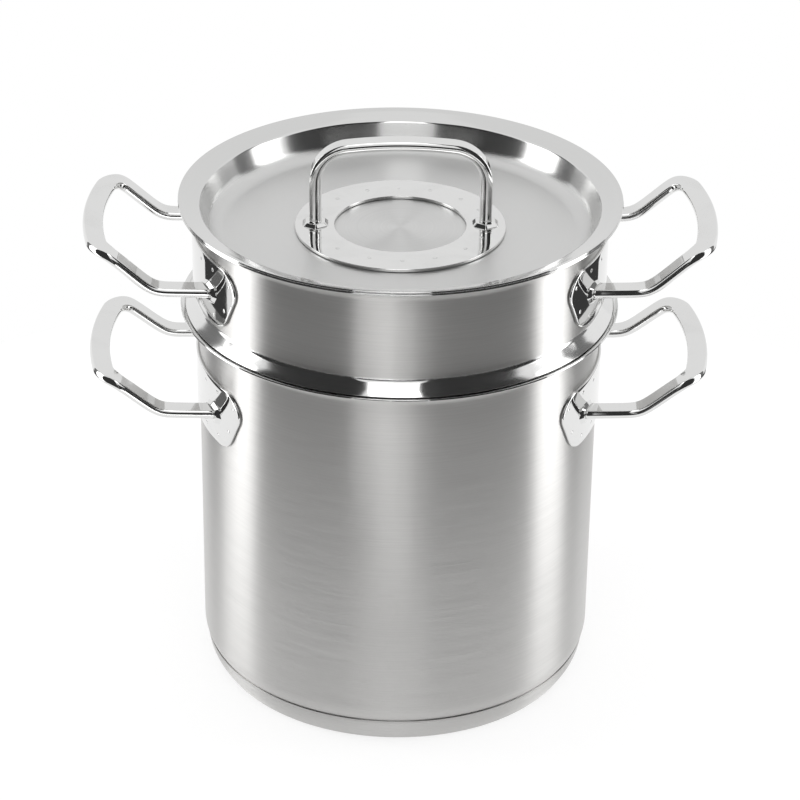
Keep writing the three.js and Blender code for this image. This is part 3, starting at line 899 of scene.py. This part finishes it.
def side_handle_grid(s, wall, leg_top, rise):
    """A bar on a surface that is level at the wall, rises, and eases off to the tilt of the grip:
    z = slope * soft(x - start) - (slope - tilt) * soft(x - end),
    where soft(u) = w * log(1 + exp(u / w)).
    Its ends are cut along the faces of the bosses, and the slant dies out along the legs."""
    h = s.handles
    slope = rise / (h.rise_end - h.rise_start)
    plan = half_loop(s, wall)
    plan = np.concatenate((plan, plan[-2::-1] * (1, -1)))
    first = (plan[:, 0] - wall - h.rise_start) / h.softness
    second = (plan[:, 0] - wall - h.rise_end) / h.softness
    soft = slope * np.logaddexp(0, first) - (slope - h.tilt) * np.logaddexp(0, second)
    steep = slope / (1 + np.exp(-first)) - (slope - h.tilt) / (1 + np.exp(-second))
    line = np.concatenate((plan, leg_top + h.softness * soft[:, None]), 1)
    up = unit(np.stack((-steep, 0 * steep, 1 + 0 * steep), -1))
    side = unit(np.cross(np.gradient(line, axis=0), up))
    slanted = 0.009
    slant = np.clip(1 - from_ends(line) / slanted, 0, 1)
    side[:, 0] -= slant * math.tan(boss_turn(s, wall))
    section = bar_section(h.bar_width, h.bar_flat, h.bar)
    return bar_grid(section, line, side, up, h.bar, flare=0.06, width=0.001)


def lid_handle_grid(s):
    """A bar that follows its outer face: up one leg, round a corner, over a flat arch whose fall
    grows with the square of the way from its middle, and down the other leg."""
    d, h = s.lid, s.handles
    low = plate_top(s) + d.boss_height + WELD_GAP
    top = plate_top(s) + d.height
    half = d.span / 2
    way = np.linspace(-0.5, 0.5, 15)
    arch = np.stack((way * half, top - d.crown * way**2 / 0.75), -1)
    high = top - d.crown
    corners = (-half, high, d.corner), *arch, (half, high, d.corner)
    line = subdivided(rounded((-half, low), *corners, (half, low)), FINE_STEP)
    up = left(unit(np.gradient(line, axis=0)))
    flat = np.zeros(len(line))
    line = np.stack((line[:, 0], flat, line[:, 1]), -1)
    up = np.stack((up[:, 0], flat, up[:, 1]), -1)
    side = np.broadcast_to((0.0, -1.0, 0.0), line.shape)
    section = bar_section(d.bar_width, d.bar_width - (h.bar_width - h.bar_flat), d.bar)
    return bar_grid(section, line, side, up, d.bar, flare=0.1, width=0.0012)


def boss_grid(across, draft, depth, sides=6, first=0.0, sharpness=28):
    """A many-sided boss about Z with its face at z = 0, given across its flats:
    r = profile / (mean over opposite flats k of |cos(t - first - k * 2 pi / sides)|^n)^(1 / n)."""
    face = across / 2
    foot = face + draft * depth
    upper, lower = 0.0009, 0.0006
    profile = rounded((0, 0), (face, 0, upper), (foot, -depth, lower), (0, -depth))
    profile = subdivided(profile, FINE_STEP)
    t = np.linspace(0, 2 * np.pi, 96, False)
    flats = first + np.arange(sides) * 2 * np.pi / sides
    reach = ((np.abs(np.cos(t[:, None] - flats)) ** sharpness).sum(1) / 2) ** (-1 / sharpness)
    r = profile[:, :1] * reach
    return np.stack((r * np.cos(t), r * np.sin(t), profile[:, 1:] + 0 * r), -1)


def weld_dots(places, out, size=0.0011, height=0.0002):
    """Spot-weld marks: flattened balls half sunk in a surface, at places with outward normals."""
    u = np.linspace(0, np.pi, 7)[:, None]
    v = np.linspace(0, 2 * np.pi, 12, False)
    ball = np.stack((np.sin(u) * np.cos(v), np.sin(u) * np.sin(v), np.cos(u) + 0 * v), -1)
    rough_up = np.where(np.abs(out[:, 2:]) > 0.9, (1.0, 0.0, 0.0), (0.0, 0.0, 1.0))
    side = unit(np.cross(rough_up, out))
    up = np.cross(out, side)
    scaled = ball * (size, size, height)
    frames = np.stack((side, up, out), 1)
    return places[:, None, None] + np.einsum("uvk,nkj->nuvj", scaled, frames)


def bracket_halves(s, top):
    """Lower and upper halves of a bracket's outline seen along X, each from left to right."""
    h = s.handles
    foot, middle = top - h.plate_height, top - h.plate_height / 2
    wide, narrow, r = h.plate_top / 2, h.plate_foot / 2, h.plate_corner
    end = (wide + narrow) / 2
    lower = rounded((-end, middle), (-narrow, foot, r), (narrow, foot, r), (end, middle))
    upper = rounded((-end, middle), (-wide, top, r), (wide, top, r), (end, middle))
    return resampled(lower, 130), resampled(upper, 130)


def bracket_plate(s, wall, top):
    """A plate that follows the wall: y and z come from its outline and x = sqrt(r^2 - y^2). Rows
    run from the back edge over a rounded front edge, and both faces are ruled from the lower to
    the upper half."""
    h = s.handles
    back = wall + WELD_GAP
    front = wall + s.pot.gap + h.plate
    lower, upper = bracket_halves(s, top)
    count = len(lower)
    outline = np.concatenate((lower, upper[-2:0:-1]))
    inward = left(unit(np.roll(outline, -1, 0) - np.roll(outline, 1, 0)))

    def on_wall(flat, radius):
        a = np.arcsin(flat[..., 0] / front)
        return np.stack((radius * np.cos(a), radius * np.sin(a), flat[..., 1]), -1)

    def face(loop, radius):
        low = loop[:count]
        high = np.concatenate((loop[:1], loop[: count - 1 : -1], loop[count - 1 : count]))
        v = np.linspace(0, 1, 12)[:, None, None]
        return on_wall(low + (high - low) * v, radius)

    edge = h.plate / 2
    turns = np.radians(np.arange(0, 91, 15))
    rim = [on_wall(outline, back)]
    for t in turns:
        loop = outline + inward * edge * (1 - math.cos(t))
        rim.append(on_wall(loop, front - edge * (1 - math.sin(t))))
    faces = (face(outline + inward * edge, front), face(outline, back)[::-1])
    patches = [(f.reshape(-1, 3), quads(*f.shape[:2], wrap_columns=False)) for f in faces]
    return [shell(np.stack(rim), closed=False), *patches]


def bracket_parts(s, wall, leg_top, turn):
    """A bracket's plate with two bosses, which end inside it, and the marks of its spot welds."""
    h = s.handles
    front = wall + s.pot.gap + h.plate
    top = leg_top + h.plate_lift
    parts = bracket_plate(s, wall, top)
    half_side = math.pi / 8
    flats = h.boss_width * math.cos(half_side)
    boss = boss_grid(flats, h.boss_draft, h.boss_stand + 2 * h.plate, 8, half_side, 60)
    across = boss[..., 1]
    inside = np.sqrt((front - h.plate / 2) ** 2 - across**2)
    out = np.maximum(boss_face(s, wall) + boss[..., 2], inside)
    z = leg_top - h.boss_drop + boss[..., 0] * h.boss_height / h.boss_width
    for a in (-boss_turn(s, wall), boss_turn(s, wall)):
        x = out * math.cos(a) - across * math.sin(a)
        y = out * math.sin(a) + across * math.cos(a)
        parts.append(shell(np.stack((x, y, z), -1)))
    half = h.plate_foot / 2
    low, high = h.plate_height * 0.86, h.plate_height * 0.14
    spots = np.array(
        (
            (half * 0.62, high),
            (half * 0.89, high * 0.9),
            (half * 1.16, high * 1.6),
            (half * 1.08, (low + high) * 0.66),
            (half * 0.89, low),
            (half * 0.63, low),
        )
    )
    spots = np.concatenate((spots, spots * (-1, 1)))
    a = spots[:, 0] / front
    out = np.stack((np.cos(a), np.sin(a), 0 * a), -1)
    places = out * front + np.stack((0 * a, 0 * a, top - spots[:, 1]), -1)
    parts.append(many(weld_dots(places, out)))
    c, k = math.cos(turn), math.sin(turn)
    spin = np.array(((c, k, 0), (-k, c, 0), (0, 0, 1)))
    return [(points @ spin, faces) for points, faces in parts]


def lid_plate_parts(s):
    """A flat ring turned about Z with rounded edges, two bosses and the marks of its spot welds."""
    d = s.lid
    top = plate_top(s)
    low = top - d.plate
    edge = 0.0004
    middle = (d.plate_inner + d.plate_outer) / 2
    line = rounded(
        (middle, low),
        (d.plate_outer, low, edge / 2),
        (d.plate_outer, top, edge),
        (d.plate_inner, top, edge),
        (d.plate_inner, low, edge / 2),
        (middle, low),
    )[:-1]
    parts = [shell(revolved(line), wrap_rows=True)]
    boss = boss_grid(d.boss, 1.0, d.boss_height + d.plate / 2)
    leg = (d.span - d.bar) / 2
    parts += [shell(boss + (x, 0, top + d.boss_height)) for x in (-leg, leg)]
    a = np.radians(np.array((22, 43, 68, 90, 112, 137, 158)))
    a = np.concatenate((a, -a))
    out = np.tile((0.0, 0.0, 1.0), (len(a), 1))
    places = np.stack((middle * np.cos(a), middle * np.sin(a), top + 0 * a), -1)
    parts.append(many(weld_dots(places, out)))
    return parts


# Operators


class PASTA_POT_OT_pot(Operator):
    """Build the pot's body, its base cap and the finish of the disc between them"""

    bl_idname = "pasta_pot.pot"
    bl_label = "Pot and base"

    def execute(self, context):
        s = context.scene.pasta_pot
        steel = brushed_steel(s, "brushed pot wall", s.pot.height - POLISHED_EDGE)
        parts = [shell(pot_body_grid(s))]
        make_piece("pot_wall_and_lip", parts, steel, "pot", "pot_body")
        steel = brushed_steel(s, "brushed base cap", s.pot.height)
        parts = [shell(base_cap_grid(s))]
        make_piece("base_cap_shell", parts, steel, "pot", "base_cap")
        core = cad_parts["base_core"]
        core.data.materials.clear()
        core.data.materials.append(plain_aluminium(s, "aluminium core"))
        return {"FINISHED"}


class PASTA_POT_OT_collar(Operator):
    """Build the insert's collar"""

    bl_idname = "pasta_pot.collar"
    bl_label = "Insert collar"

    def execute(self, context):
        s = context.scene.pasta_pot
        lip, foot = insert_height(s) - POLISHED_EDGE, s.pot.height + POLISHED_FOOT
        steel = brushed_steel(s, "brushed collar", lip, foot, haze=0.05)
        parts = [shell(collar_grid(s), wrap_rows=True)]
        make_piece("collar_band", parts, steel, "insert", "insert_collar")
        return {"FINISHED"}


class PASTA_POT_OT_basket(Operator):
    """Build the perforated basket"""

    bl_idname = "pasta_pot.basket"
    bl_label = "Strainer basket"

    def execute(self, context):
        s = context.scene.pasta_pot
        cells = [basket_wall_cells(s)]
        cells += [basket_floor_cells(s, ring) for ring in range(s.insert.rings + 1)]
        parts = [many(grids, closed=False) for grids in cells]
        parts += [shell(grid, closed=False) for grid in basket_bands(s)]
        steel = satin_steel(s, "satin basket", 0.5, gloss=-0.08)
        make_piece("basket_shell", parts, steel, "insert", "strainer_basket")
        return {"FINISHED"}


class PASTA_POT_OT_brackets(Operator):
    """Build the four brackets of the side handles"""

    bl_idname = "pasta_pot.brackets"
    bl_label = "Brackets"

    def execute(self, context):
        s = context.scene.pasta_pot
        steel = polished_steel(s, "polished bracket")
        for body, wall, leg_top, _ in vessels(s):
            for side, turn in (("right", 0.0), ("left", math.pi)):
                parts = bracket_parts(s, wall, leg_top, turn)
                node = f"{body}_bracket_{side}"
                make_piece(f"{body}_plate_{side}", parts, steel, body, node)
        return {"FINISHED"}


class PASTA_POT_OT_handles(Operator):
    """Build the four side handles"""

    bl_idname = "pasta_pot.handles"
    bl_label = "Side handles"

    def execute(self, context):
        s = context.scene.pasta_pot
        steel = polished_steel(s, "polished handle")
        for body, wall, leg_top, rise in vessels(s):
            grid = side_handle_grid(s, wall, leg_top, rise)
            for side, sign in SIDES:
                parts = [shell(grid * (sign, sign, 1))]
                node = f"{body}_handle_{side}"
                make_piece(f"{body}_bar_{side}", parts, steel, body, node)
        return {"FINISHED"}


class PASTA_POT_OT_lid(Operator):
    """Build the lid"""

    bl_idname = "pasta_pot.lid"
    bl_label = "Lid"

    def execute(self, context):
        s = context.scene.pasta_pot
        wall = lid_wall(s)
        steel = satin_steel(
            s, "satin lid", 0.1, contrast=0.02, gloss=0.06, wall=wall - 0.004, rim=wall - 0.0008
        )
        piece = make_piece("lid_sheet", [shell(lid_grid(s))], steel, "lid", "lid_shell")
        turned = satin_steel(
            s, "turned lid centre", 0.8, contrast=0.14, gloss=0.04, fineness=1100.0
        )
        piece.data.materials.append(turned)
        polygons = piece.data.polygons
        centre = np.empty(len(polygons) * 3)
        polygons.foreach_get("center", centre)
        radius = np.linalg.norm(centre.reshape(-1, 3)[:, :2], axis=1)
        under_plate = s.lid.plate_inner + 0.001
        polygons.foreach_set("material_index", (radius < under_plate).astype(np.int32))
        return {"FINISHED"}


class PASTA_POT_OT_lid_plate(Operator):
    """Build the ring that carries the lid's handle"""

    bl_idname = "pasta_pot.lid_plate"
    bl_label = "Lid handle plate"

    def execute(self, context):
        s = context.scene.pasta_pot
        steel = polished_steel(s, "polished lid plate")
        make_piece("lid_ring", lid_plate_parts(s), steel, "lid", "lid_handle_plate")
        return {"FINISHED"}


class PASTA_POT_OT_lid_handle(Operator):
    """Build the lid's handle"""

    bl_idname = "pasta_pot.lid_handle"
    bl_label = "Lid handle"

    def execute(self, context):
        s = context.scene.pasta_pot
        steel = polished_steel(s, "polished lid handle")
        make_piece("lid_bar", [shell(lid_handle_grid(s))], steel, "lid", "lid_handle")
        return {"FINISHED"}


def seen_rays(tree):
    """1 for rays by which the background is seen: from the camera, and by way of metal or glass."""
    path = put(tree, "ShaderNodeLightPath").outputs
    some = math_node(tree, "MAXIMUM", path["Is Camera Ray"], path["Is Glossy Ray"])
    return math_node(tree, "MAXIMUM", some, path["Is Transmission Ray"])


def studio_world():
    """A white surround."""
    world = bpy.data.worlds.new("surround")
    bpy.context.scene.world = world
    world.use_nodes = True
    tree = world.node_tree
    tree.nodes.clear()
    white = put(tree, "ShaderNodeBackground", {0: (1, 1, 1, 1), 1: 1.0}).outputs[0]
    fill = put(tree, "ShaderNodeBackground", {0: (1, 1, 1, 1), 1: 0.8}).outputs[0]
    both = put(tree, "ShaderNodeMixShader", {0: seen_rays(tree), 1: fill, 2: white})
    put(tree, "ShaderNodeOutputWorld", {0: both.outputs[0]})


def bare_material(name):
    """A material and its empty node tree."""
    material = bpy.data.materials.new(name)
    material.use_nodes = True
    material.node_tree.nodes.clear()
    return material, material.node_tree


def stage_mesh(name, grid, faces, material):
    """A piece of the stage, made of a grid."""
    mesh = bpy.data.meshes.new(name)
    mesh.from_pydata(grid.reshape(-1, 3).tolist(), [], faces.tolist())
    mesh.materials.append(material)
    made = bpy.data.objects.new(name, mesh)
    bpy.context.scene.collection.objects.link(made)
    return made


def floor_material(s):
    """A pale floor, seen as white where no shadow falls."""
    material, tree = bare_material("pale floor")
    tone, shadow = s.stage.floor_colour, s.stage.floor_shadow
    place = put(tree, "ShaderNodeTexCoord").outputs["Object"]
    speckle = put(tree, "ShaderNodeTexNoise", {"Vector": place, "Scale": 60.0}).outputs[0]
    speckled = mixed_colour(tree, speckle, shaded(tone, 0.99), tone)
    matt = put(tree, "ShaderNodeBsdfDiffuse", {0: speckled}).outputs[0]
    soft = put(tree, "ShaderNodeBsdfDiffuse", {0: (*shaded(tone, shadow), 1)}).outputs[0]
    glow = put(tree, "ShaderNodeEmission", {0: (1, 1, 1, 1), 1: 1 - 0.7 * shadow}).outputs[0]
    white = put(tree, "ShaderNodeAddShader", {0: soft, 1: glow}).outputs[0]
    both = put(tree, "ShaderNodeMixShader", {0: seen_rays(tree), 1: matt, 2: white})
    put(tree, "ShaderNodeOutputMaterial", {0: both.outputs[0]})
    return material


def make_floor(s):
    """A round floor just under the base."""
    rings, height = 12, -0.0002
    profile = np.stack((np.linspace(0, s.stage.floor, rings), np.full(rings, height)), -1)
    grid = revolved(profile, 96)
    floor = stage_mesh("floor", grid, quads(*grid.shape[:2])[:, ::-1], floor_material(s))


def card_material(s, name, first, soft, tone):
    """A glowing card whose tone eases from pale to its own over some degrees from the first, to
    both sides of the light's turn."""
    material, tree = bare_material(name)
    place = put(tree, "ShaderNodeTexCoord").outputs["Object"]
    axes = put(tree, "ShaderNodeSeparateXYZ", {0: place}).outputs
    ahead = math_node(tree, "MULTIPLY", axes[1], -1.0)
    turn = math_node(tree, "SUBTRACT", math_node(tree, "ARCTAN2", axes[0], ahead), s.stage.turn)
    turn = math_node(tree, "ABSOLUTE", turn)
    eased = ramp(tree, turn, math.radians(first), math.radians(first + soft), 0.95, tone)
    glow = put(tree, "ShaderNodeEmission", {0: eased, 1: 1.0})
    put(tree, "ShaderNodeOutputMaterial", {0: glow.outputs[0]})
    return material


def make_card(s, name, spread, heights, tone, soft=0.5, hood=0.0, shift=0.0, near=1.0):
    """A pair of curved cards beside the pot, seen only in its reflections: x = r sin a,
    y = -r cos a, for a spread of angles a in degrees to both sides of the front, and between two
    heights. A shift turns both to the right, a hood leans in from the top edge by its share of the
    radius, and a near card stands within the others."""
    a = np.radians(np.linspace(*spread, 40))
    far = s.stage.card_radius * near
    low, high = heights
    edge = np.array(((far, low), (far, high), (far * (1 - hood), high + far * hood)))
    r, z = edge[: 3 if hood else 2, :, None].transpose(1, 0, 2)
    material = card_material(s, name, spread[0], soft, tone)
    for side, sign in SIDES:
        turn = sign * a + s.stage.turn + math.radians(shift)
        grid = np.stack((r * np.sin(turn), -r * np.cos(turn), z + 0 * a), -1)
        faces = quads(*grid.shape[:2], wrap_columns=False)
        card = stage_mesh(f"{name} {side}", grid, faces, material)
        card.visible_camera = card.visible_diffuse = card.visible_shadow = False


def make_lamp(name, place, target, size, power):
    """A soft lamp with a width and a height, aimed at a point."""
    data = bpy.data.lights.new(name, "AREA")
    data.shape = "RECTANGLE"
    data.size, data.size_y = size
    data.energy = power
    lamp = bpy.data.objects.new(name, data)
    lamp.location = place
    lamp.rotation_euler = (Vector(target) - Vector(place)).to_track_quat("-Z", "Y").to_euler()
    bpy.context.scene.collection.objects.link(lamp)


def make_camera(s):
    """Camera on a circle round the target, rolled about its own axis."""
    v = s.stage
    data = bpy.data.cameras.new("camera")
    data.lens = v.lens
    data.sensor_width = 36
    data.clip_start = 0.05
    data.clip_end = 20
    ahead = Vector((0, math.cos(v.elevation), -math.sin(v.elevation)))
    right = Vector((1, 0, 0))
    up = right.cross(ahead)
    c, k = math.cos(v.roll), math.sin(v.roll)
    across, upright = c * right + k * up, c * up - k * right
    place = Vector((v.side, 0, v.target)) - ahead * v.distance
    look = Matrix((across, upright, -ahead)).transposed().to_4x4()
    camera = bpy.data.objects.new("camera", data)
    camera.matrix_world = Matrix.Rotation(v.azimuth, 4, "Z") @ Matrix.Translation(place) @ look
    bpy.context.scene.collection.objects.link(camera)
    bpy.context.scene.camera = camera


class PASTA_POT_OT_stage(Operator):
    """Set up the floor, the light and the camera"""

    bl_idname = "pasta_pot.stage"
    bl_label = "Stage"

    def execute(self, context):
        s = context.scene.pasta_pot
        context.scene.view_settings.view_transform = "Standard"
        studio_world()
        make_floor(s)
        make_lamp("front lamp", (0, -1.0, 1.7), (0, 0, 0.2), size=(0.8, 0.7), power=3.4)
        c, k = math.cos(s.stage.turn), math.sin(s.stage.turn)
        for side, x, y, width in (("right", 0.95, 0.035, 0.33), ("left", -0.95, 0.0, 0.4)):
            place = (x * c - y * k, x * k + y * c, 0.15)
            size, power = (width, 1.4), 9.2 * width
            make_lamp(f"side lamp {side}", place, (0, 0, 0.15), size, power)
        make_card(s, "front card", (0, 17), (-0.1, 0.36), 0.04)
        make_card(s, "glint card", (0, 8), (-0.18, -0.1), 3.2, shift=2, near=0.99)
        make_card(s, "low glint card", (0, 11), (-0.4, -0.18), 3.7, shift=-9.5, near=0.99)
        make_card(s, "dark card", (17, 77), (-0.05, 1.0), 0.04, soft=1.5, hood=0.55)
        make_card(s, "shade card", (9, 77), (-0.6, -0.05), 0.04, soft=7, shift=2.5)
        make_card(s, "low card", (101, 133), (-0.6, -0.04), 0.05, shift=6.5)
        make_card(s, "back card", (103, 118), (-0.04, 0.9), 0.2)
        make_card(s, "pale card", (140, 180), (-0.04, 1.6), 0.93)
        make_camera(s)
        return {"FINISHED"}


OPERATORS = (
    PASTA_POT_OT_pot,
    PASTA_POT_OT_collar,
    PASTA_POT_OT_basket,
    PASTA_POT_OT_brackets,
    PASTA_POT_OT_handles,
    PASTA_POT_OT_lid,
    PASTA_POT_OT_lid_plate,
    PASTA_POT_OT_lid_handle,
    PASTA_POT_OT_stage,
)


class PASTA_POT_PT_sidebar(Panel):
    """Lists the steps that build the pot"""

    bl_idname = "PASTA_POT_PT_sidebar"
    bl_label = "Pasta Pot"
    bl_space_type = "VIEW_3D"
    bl_region_type = "UI"
    bl_category = "Pasta Pot"

    def draw(self, context):
        for operator in OPERATORS:
            self.layout.operator(operator.bl_idname)


GROUPS = (PotSizes, InsertSizes, LidSizes, HandleSizes, Finishes, StageSettings, PastaPot)
CLASSES = (*GROUPS, *OPERATORS, PASTA_POT_PT_sidebar)


def register():
    for cls in CLASSES:
        bpy.utils.register_class(cls)
    bpy.types.Scene.pasta_pot = PointerProperty(type=PastaPot)


def unregister():
    del bpy.types.Scene.pasta_pot
    for cls in reversed(CLASSES):
        bpy.utils.unregister_class(cls)


def main():
    register()
    bpy.ops.pasta_pot.pot()
    bpy.ops.pasta_pot.collar()
    bpy.ops.pasta_pot.basket()
    bpy.ops.pasta_pot.brackets()
    bpy.ops.pasta_pot.handles()
    bpy.ops.pasta_pot.lid()
    bpy.ops.pasta_pot.lid_plate()
    bpy.ops.pasta_pot.lid_handle()
    bpy.ops.pasta_pot.stage()


if __name__ == "__main__":
    main()
